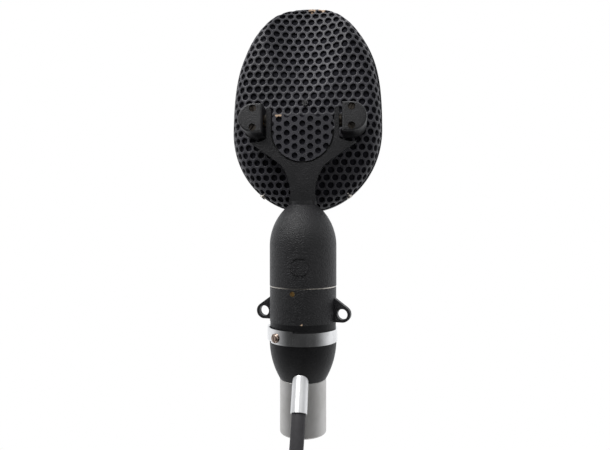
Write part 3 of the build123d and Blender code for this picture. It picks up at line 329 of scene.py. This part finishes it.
flats = {
    "liningCloth": dict(
        grain=3500.0, bump=0.6, depth=0.0003, cloud=60.0, dark=(0.009, 0.009, 0.013),
        light=(0.019, 0.019, 0.025), smooth=0.8, rough=0.95, specular=0.2,
    ),
    "cordRubber": dict(
        grain=900.0, bump=0.12, depth=0.0002, cloud=35.0, dark=(0.046, 0.044, 0.047),
        light=(0.066, 0.064, 0.068), smooth=0.55, rough=0.72, specular=0.35,
    ),
    "strapRubber": dict(
        grain=1200.0, bump=0.2, depth=0.0002, cloud=50.0, dark=(0.012, 0.012, 0.012),
        light=(0.022, 0.022, 0.022), smooth=0.5, rough=0.7, specular=0.35,
    ),
    "boardBrown": dict(
        grain=1400.0, bump=0.15, depth=0.0002, cloud=120.0, dark=(0.05, 0.022, 0.010),
        light=(0.09, 0.042, 0.020), smooth=0.35, rough=0.5, specular=0.5,
    ),
}
finishes = {name: paintMaterial(name, look) for name, look in {**paints, **flats}.items()}
finishes.update({name: metalMaterial(name, look) for name, look in metals.items()})

wearing = {
    "sheetPaint": ["rear_grille", "front_grille", "vent_plate"],
    "blockPaint": ["left_pivot_block", "left_pivot_cap", "right_pivot_block", "right_pivot_cap", "yoke"],
    "castingPaint": ["head_rim", "bell_housing", "access_plug", "barrel", "grille_screw"],
    "shadedBowlPaint": ["bowl", "collar"],
    "liningCloth": ["rear_lining", "front_lining", "vent_gauze"],
    "screwMetal": ["left_cap_screws", "right_cap_screws", "motor_screws", "clamp_screws",
                   "stem_nut", "crown_nut", "can_nut", "transformer_spacer", "motor_frame",
                   "left_trunnion", "right_trunnion"],
    "wornMetal": ["rim_screws", "swivel_washer", "ribbon", "ribbon_clamps", "can_lid", "transformer_can"],
    "bandMetal": ["clamp_band"],
    "domeMetal": ["band_screw"],
    "glandMetal": ["cable_gland"],
    "stemMetal": ["stem", "connector_shell"],
    "bronzeMetal": ["left_pivot_bush", "right_pivot_bush", "set_screw", "terminal_screws",
                    "connector_contacts", "transformer_coil"],
    "coreMetal": ["horseshoe_magnet", "left_pole_piece", "right_pole_piece", "transformer_core"],
    "boardBrown": ["clamp_insulators", "terminal_board", "connector_insert"],
    "cordRubber": ["cord", "cord_hank", "connector_boot"],
    "strapRubber": ["hank_tie"],
}
for finish, names in wearing.items():
    for name in names:
        nodes[name].data.materials.clear()
        nodes[name].data.materials.append(finishes[finish])
print("finishes on the frame's pieces")

# the lead, as it hangs, and its tied hank
lead = dict(
    diameter=7.0,
    route=[
        (0, -13.5, 27.26),
        (0, -22.2, 12.19),
        (-0.6, -27.0, -2.5),
        (-1.2, -28.8, -18.0),
        (-1.2, -28.8, -34.0),
    ],
    exit=(0, -20, 16),
    foldRadius=21.0,
    foldLean=21.0,  # degrees by which a fold turns past its half circle, at each side
    foldSteps=6,
    tieReach=6.0,
    waistPlaces=[(0, 0), (1, -1), (-1, -1), (1, 0), (-1, 0), (1, 1), (-1, 1), (0, -1), (0, 1)],
    foldLayers=[-2, -1, 1, 2],
    sag=0.6,
    sagBeat=2.4,
    sideIn=0.93,  # share of a fold's reach that its run comes in at
    runShare=(0.45, 0.75),  # how far a run has spread, across and in depth, halfway to its fold
    length=1.8,  # metres
)


def hankRoute():
    # each run goes through the tie, then round a fold in a layer of its own
    low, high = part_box("cord_hank")
    middle = (low + high) / 2
    reach = (lead["foldRadius"] + lead["diameter"] / 2) * mm
    thick = lead["diameter"] * mm
    lean = lead["foldLean"]
    step = (180 + 2 * lean) / lead["foldSteps"]
    cornerRadius = lead["foldRadius"] * mm / math.cos(math.radians(step / 2))
    places = [middle + Vector((x * thick, y * thick, 0)) for x, y in lead["waistPlaces"]]
    route = []
    for run, place in enumerate(places):
        heading = -1 if run % 2 == 0 else 1
        passing = Vector((0, 0, heading * lead["tieReach"] * mm))
        route += [place - passing, place + passing]
        if run == len(places) - 1:
            break
        sway = lead["sag"] * mm * math.sin(lead["sagBeat"] * run)
        layer = middle.y + lead["foldLayers"][run // 2] * thick
        inwards = reach + abs(sway)
        centre = Vector((sway, layer, low.z + inwards if heading < 0 else high.z - inwards))
        side = Vector((heading * lead["foldRadius"] * mm * lead["sideIn"], 0, 0))
        for corner in range(-1, lead["foldSteps"] + 1):
            if corner in (-1, lead["foldSteps"]):
                near = places[run] + passing if corner < 0 else places[run + 1] + passing
                edge = centre + (side if corner < 0 else -side)
                across, inDepth = lead["runShare"]
                x = near.x + (edge.x - near.x) * across
                y = near.y + (edge.y - near.y) * inDepth
                route.append(Vector((x, y, (near.z + edge.z) / 2)))
                continue
            start = 180 - lean if heading < 0 else -lean
            turn = math.radians(start + step * (corner + 0.5))
            route.append(centre + Vector((math.cos(turn), 0, math.sin(turn))) * cornerRadius)
    route.append(Vector((middle.x, middle.y, low.z + reach)))
    route.append(Vector((middle.x, middle.y, low.z - lead["diameter"] * mm / 2)))
    return route


def buildLead():
    points = [Vector(point) * mm for point in lead["route"]] + hankRoute()
    curve = bpy.data.curves.new("lead", "CURVE")
    curve.dimensions = "3D"
    curve.resolution_u = 6
    curve.bevel_depth = lead["diameter"] * mm / 2
    curve.bevel_resolution = 4
    curve.use_fill_caps = True
    spline = curve.splines.new("NURBS")
    spline.points.add(len(points) - 1)
    for slot, point in zip(spline.points, points):
        slot.co = (*point, 1)
    spline.order_u = 3
    spline.use_endpoint_u = True
    piece = bpy.data.objects.new("lead", curve)
    bpy.context.scene.collection.objects.link(piece)
    curve.materials.append(finishes["cordRubber"])
    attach(piece, "base")
    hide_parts("cord", "cord_hank")
    return piece, spline.calc_length()


leadPiece, leadLength = buildLead()
print("lead length", round(leadLength, 3))

# perforated shells of the head
head = dict(
    lean=5.0,  # degrees, top away from the yoke
    halfWidth=41.7,
    rise=70.5,
    drop=46.0,
    fullness=2.35,
    pitch=4.76,
    holeRadius=1.7,
    spread=0.04,  # share by which hole radii differ
    lip=0.24,  # the paint rounds each hole's edge by this much
    lipDrop=0.18,
    sheet=1.0,
    skirt=6.0,  # modelled past the rim, then cut off
    sideSteps=3,
    columns=12,  # to each side of the middle
    edgeSteps=41,  # over the pressed edge
    halvings=24,  # when a point's place on the edge is looked for
    edgeShare=0.75,  # of a shell's depth, added to the flat pattern's reach
    weld=0.02,
)
rearShell = dict(rimLevel=-20.0, depth=11.5, edge=9.0, edgeLow=24.0, outwards=1, scooped=True)
frontShell = dict(rimLevel=-23.0, depth=15.5, edge=12.0, edgeLow=14.0, outwards=-1, scooped=False)
scoop = dict(tip=13.7, radius=42.0, slope=10.0, blend=1.4, share=0.98)
lean = math.radians(head["lean"])
pivotLevel = next(joint["pos_m"][2] for joint in frame["joints"] if joint["name"] == "head_tilt")


def headPoints(x, y, level):
    # from the head's own millimetres to the frame's metres
    across = x * mm
    back = (y * math.sin(lean) - level * math.cos(lean)) * mm
    up = (y * math.cos(lean) + level * math.sin(lean)) * mm + pivotLevel
    return np.stack((across, back, up), axis=-1)


def scoopLevel(x, y, top):
    # the round-bottomed trough that sinks into the head towards its top
    sine, cosine = math.sin(math.radians(scoop["slope"])), math.cos(math.radians(scoop["slope"]))
    radius = scoop["radius"]
    axisY, axisLevel = scoop["tip"] + radius * sine, top + radius * cosine
    reach = np.sqrt(np.maximum(radius**2 - x**2, 0))
    return axisLevel - (reach + sine * (y - axisY)) / cosine


def shellSurface(shell, u, v):
    # lays the flat pattern over the shell: unchanged on its flat, by arc length over the pressed edge
    turn = np.linspace(math.pi / 2, 0, head["edgeSteps"])
    step = turn[0] - turn[1]
    depth, edge, edgeLow = shell["depth"], shell["edge"], shell["edgeLow"]
    arcs = []
    for width in (edge, edgeLow):
        speed = np.hypot(width * np.sin(turn), depth * np.cos(turn))
        arcs.append(np.concatenate(([0], np.cumsum((speed[1:] + speed[:-1]) / 2 * step))))
    skirt = head["skirt"]
    marks = np.append(turn, -skirt)
    arcSide, arcLow = (np.append(arc, arc[-1] + skirt) for arc in arcs)
    insets = np.append(1 - np.cos(turn), 0)
    levels = np.append(depth * np.sin(turn), -skirt)
    places = np.arange(len(marks), dtype=float)
    upper = v > 0
    power = np.where(upper, head["fullness"], 2.0)

    def sizes(place):
        side = np.interp(place, places, arcSide)
        low = np.interp(place, places, arcLow)
        wide = head["halfWidth"] - edge + side
        tall = np.where(upper, head["rise"] - edge + side, head["drop"] - edgeLow + low)
        return wide, tall

    def outside(place):
        wide, tall = sizes(place)
        return (np.abs(u) / wide) ** power + (np.abs(v) / tall) ** power > 1

    near = np.zeros_like(u)
    far = np.full_like(u, places[-1])
    for _ in range(head["halvings"]):
        middle = (near + far) / 2
        beyond = outside(middle)
        near = np.where(beyond, middle, near)
        far = np.where(beyond, far, middle)
    onFlat = ~outside(np.zeros_like(u))
    place = np.where(onFlat, 0, far)
    wide, tall = sizes(place)
    inset = np.interp(place, places, insets)
    wideNow = head["halfWidth"] - edge * inset
    tallNow = np.where(upper, head["rise"] - edge * inset, head["drop"] - edgeLow * inset)
    x = np.where(onFlat, u, u / wide * wideNow)
    y = np.where(onFlat, v, v / tall * tallNow)
    level = np.where(onFlat, depth, np.interp(place, places, levels))
    if shell["scooped"]:
        trough = scoopLevel(x, y, shell["rimLevel"] + depth) - shell["rimLevel"]
        trough = np.where(np.abs(x) < scoop["radius"] * scoop["share"], trough, level + 50)
        gap = np.clip((level - trough) / scoop["blend"] / 2 + 0.5, 0, 1)
        level = level * (1 - gap) + trough * gap - scoop["blend"] * gap * (1 - gap)
    return headPoints(x, y, shell["rimLevel"] + shell["outwards"] * level)


def perforatedPoints(shell, u, v, sink):
    point = shellSurface(shell, u, v)
    if not np.any(sink):
        return point
    nudge = 0.1
    alongU = shellSurface(shell, u + nudge, v) - shellSurface(shell, u - nudge, v)
    alongV = shellSurface(shell, u, v + nudge) - shellSurface(shell, u, v - nudge)
    normal = np.cross(alongU, alongV) * shell["outwards"]
    normal /= np.linalg.norm(normal, axis=-1, keepdims=True)
    return point - normal * sink[..., None] * mm


def hexagonRing(steps):
    # points round a cell of the staggered pattern, and their angles
    corner = head["pitch"] / math.sqrt(3)
    ring = []
    for side in range(6):
        turns = (math.radians(30 + 60 * side), math.radians(90 + 60 * side))
        first, last = (Vector((math.cos(turn), math.sin(turn))) * corner for turn in turns)
        ring += [first.lerp(last, share / steps) for share in range(steps)]
    return ring


def buildShell(name, shell, node, chance):
    ring = hexagonRing(head["sideSteps"])
    ringX = np.array([point.x for point in ring])
    ringY = np.array([point.y for point in ring])
    angles = np.arctan2(ringY, ringX)
    rowStep = head["pitch"] * math.sqrt(3) / 2
    reachSide = head["halfWidth"] + shell["depth"] * head["edgeShare"]
    reachUp = head["rise"] + shell["depth"] * head["edgeShare"]
    reachDown = head["drop"] + shell["depth"] * head["edgeShare"]
    centres = []
    for row in range(-int(reachDown / rowStep) - 1, int(reachUp / rowStep) + 2):
        for column in range(-head["columns"], head["columns"] + 1):
            x, y = (column + 0.5 * (row % 2)) * head["pitch"], row * rowStep
            tall = reachUp if y > 0 else reachDown
            power = head["fullness"] if y > 0 else 2
            if (abs(x) / reachSide) ** power + (abs(y) / tall) ** power < 1:
                centres.append((x, y))
    centreX, centreY = (np.array(values)[:, None] for values in zip(*centres))
    radius = head["holeRadius"] * (1 + head["spread"] * chance.uniform(-1, 1, centreX.shape))
    radii = (None, radius + head["lip"], radius)
    drops = (0.0, 0.0, head["lipDrop"])
    mesh = bmesh.new()
    loops = []
    for size, drop in zip(radii, drops):
        if size is None:
            u, v = centreX + ringX, centreY + ringY
        else:
            u, v = centreX + size * np.cos(angles), centreY + size * np.sin(angles)
        points = perforatedPoints(shell, u, v, np.full(u.shape, drop))
        loops.append([[mesh.verts.new(point) for point in cell] for cell in points])
    count = len(ring)
    for cell in range(len(centres)):
        for outer, inner in zip(loops, loops[1:]):
            for corner in range(count):
                after = (corner + 1) % count
                corners = [
                    outer[cell][corner], outer[cell][after], inner[cell][after], inner[cell][corner],
                ]
                mesh.faces.new(corners if shell["outwards"] > 0 else corners[::-1])
    bmesh.ops.remove_doubles(mesh, verts=mesh.verts, dist=head["weld"] * mm)
    rimPoint = Vector(headPoints(0.0, 0.0, shell["rimLevel"]))
    away = Vector(headPoints(0.0, 0.0, shell["rimLevel"] - shell["outwards"])) - rimPoint
    bmesh.ops.bisect_plane(
        mesh, geom=mesh.verts[:] + mesh.edges[:] + mesh.faces[:], plane_co=rimPoint, plane_no=away,
        dist=0.001 * mm, clear_outer=True,
    )
    for face in mesh.faces:
        face.smooth = True
    data = bpy.data.meshes.new(name)
    mesh.to_mesh(data)
    mesh.free()
    piece = bpy.data.objects.new(name, data)
    bpy.context.scene.collection.objects.link(piece)
    thicken = piece.modifiers.new("sheet", "SOLIDIFY")
    thicken.thickness = (head["sheet"] - 0.04) * mm
    thicken.offset = -1
    data.materials.append(finishes["sheetPaint"])
    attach(piece, "head")
    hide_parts(node)
    print(name, len(centres), "cells")


chance = np.random.default_rng(7)
buildShell("rearShell", rearShell, "rear_grille", chance)
buildShell("frontShell", frontShell, "front_grille", chance)

# camera, lights and stage
view = dict(azimuth=6.0, distance=288 * mm, height=109 * mm, sideways=1 * mm, lens=32.16, film=36)


def buildCamera():
    turn = math.radians(view["azimuth"])
    right = Vector((math.cos(turn), math.sin(turn), 0))
    back = Vector((math.sin(turn), -math.cos(turn), 0))
    place = back * view["distance"] + right * view["sideways"] + Vector((0, 0, view["height"]))
    data = bpy.data.cameras.new("camera")
    data.lens = view["lens"]
    data.sensor_width = view["film"]
    data.clip_start = 0.005
    camera = bpy.data.objects.new("camera", data)
    camera.matrix_world = Matrix.Translation(place) @ (-back).to_track_quat("-Z", "Y").to_matrix().to_4x4()
    bpy.context.scene.collection.objects.link(camera)
    bpy.context.scene.camera = camera


lamps = {
    "key": dict(place=(-0.38, -0.44, 0.80), aim=(0, 0, 0.17), size=(0.42, 0.32), watts=5.2),
    "fill": dict(place=(0.55, -0.75, 0.30), aim=(0, 0, 0.14), size=(0.3, 0.5), watts=0.7),
    "top": dict(place=(0.0, 0.35, 0.95), aim=(0, 0, 0.15), size=(0.5, 0.4), watts=2.0),
}


def buildLamps():
    for name, lamp in lamps.items():
        data = bpy.data.lights.new(name, "AREA")
        data.shape = "RECTANGLE"
        data.size, data.size_y = lamp["size"]
        data.energy = lamp["watts"]
        light = bpy.data.objects.new(name, data)
        light.location = lamp["place"]
        facing = Vector(lamp["aim"]) - Vector(lamp["place"])
        light.rotation_euler = facing.to_track_quat("-Z", "Y").to_euler()
        bpy.context.scene.collection.objects.link(light)


room = dict(
    front=0.05,
    above=0.75,
    below=0.04,
    behind=1.0,
    sky=(0.0, 0.9),  # heights between which the front turns into the ceiling
    ground=(-0.6, 0.0),
    sides=(-0.8, 0.6),  # from the front to the white backdrop, as polished metal sees it
    tint=(0.97, 0.98, 1.0),
)


def rampNode(tree, source, fromRange, toRange=(0.0, 1.0)):
    ramp = addNode(tree, "ShaderNodeMapRange", [("Value", source)], interpolation_type="SMOOTHSTEP")
    for label, value in zip(("From Min", "From Max", "To Min", "To Max"), (*fromRange, *toRange)):
        ramp.inputs[label].default_value = value
    return ramp.outputs[0]


def buildWorld():
    # a white backdrop behind, a dim room in front, and a pale ceiling
    world = bpy.data.worlds.new("studio")
    bpy.context.scene.world = world
    world.use_nodes = True
    tree = world.node_tree
    coords = addNode(tree, "ShaderNodeTexCoord")
    parts = addNode(tree, "ShaderNodeSeparateXYZ", [(0, coords.outputs["Generated"])])
    ceiling = rampNode(tree, parts.outputs["Z"], room["sky"], (room["front"], room["above"]))
    ground = rampNode(tree, parts.outputs["Z"], room["ground"], (room["below"] / room["front"], 1.0))
    level = addNode(tree, "ShaderNodeMath", [(0, ceiling), (1, ground)], operation="MULTIPLY")
    backdrop = rampNode(tree, parts.outputs["Y"], room["sides"])
    lit = addNode(
        tree, "ShaderNodeMix", [("Factor", backdrop), ("A", level.outputs[0])], data_type="FLOAT",
    )
    lit.inputs["B"].default_value = room["behind"]
    path = addNode(tree, "ShaderNodeLightPath")
    shine = addNode(
        tree, "ShaderNodeMix",
        [
            ("Factor", path.outputs["Is Glossy Ray"]), ("A", level.outputs[0]),
            ("B", lit.outputs["Result"]),
        ],
        data_type="FLOAT",
    )
    surface = tree.nodes["Background"]
    tree.links.new(shine.outputs["Result"], surface.inputs["Strength"])
    surface.inputs["Color"].default_value = (*room["tint"], 1)
    white = addNode(tree, "ShaderNodeBackground", Strength=1.0)
    white.inputs["Color"].default_value = (1, 1, 1, 1)
    mix = addNode(
        tree, "ShaderNodeMixShader",
        [(0, path.outputs["Is Camera Ray"]), (1, surface.outputs[0]), (2, white.outputs[0])],
    )
    tree.links.new(mix.outputs[0], tree.nodes["World Output"].inputs["Surface"])


stage = dict(reach=0.3, drop=0.004, white=0.9, rough=0.8)


def buildFloor():
    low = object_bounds()[0]
    mesh = bpy.data.meshes.new("floor")
    plane = bmesh.new()
    bmesh.ops.create_grid(plane, x_segments=1, y_segments=1, size=stage["reach"])
    bmesh.ops.translate(plane, verts=plane.verts, vec=(0, 0, low[2] - stage["drop"]))
    plane.to_mesh(mesh)
    plane.free()
    floor = bpy.data.objects.new("floor", mesh)
    bpy.context.scene.collection.objects.link(floor)
    material, tree, shader = emptyMaterial("floorWhite")
    shader.inputs["Base Color"].default_value = (*[stage["white"]] * 3, 1)
    shader.inputs["Roughness"].default_value = stage["rough"]
    glow = addNode(tree, "ShaderNodeEmission", Strength=1.0)
    path = addNode(tree, "ShaderNodeLightPath")
    mix = addNode(
        tree, "ShaderNodeMixShader",
        [(0, path.outputs["Is Camera Ray"]), (1, shader.outputs[0]), (2, glow.outputs[0])],
    )
    tree.links.new(mix.outputs[0], tree.nodes["Material Output"].inputs["Surface"])
    mesh.materials.append(material)


buildCamera()
buildLamps()
buildWorld()
buildFloor()
print("camera, lamps and stage")
bpy.context.scene.view_settings.view_transform = "Standard"
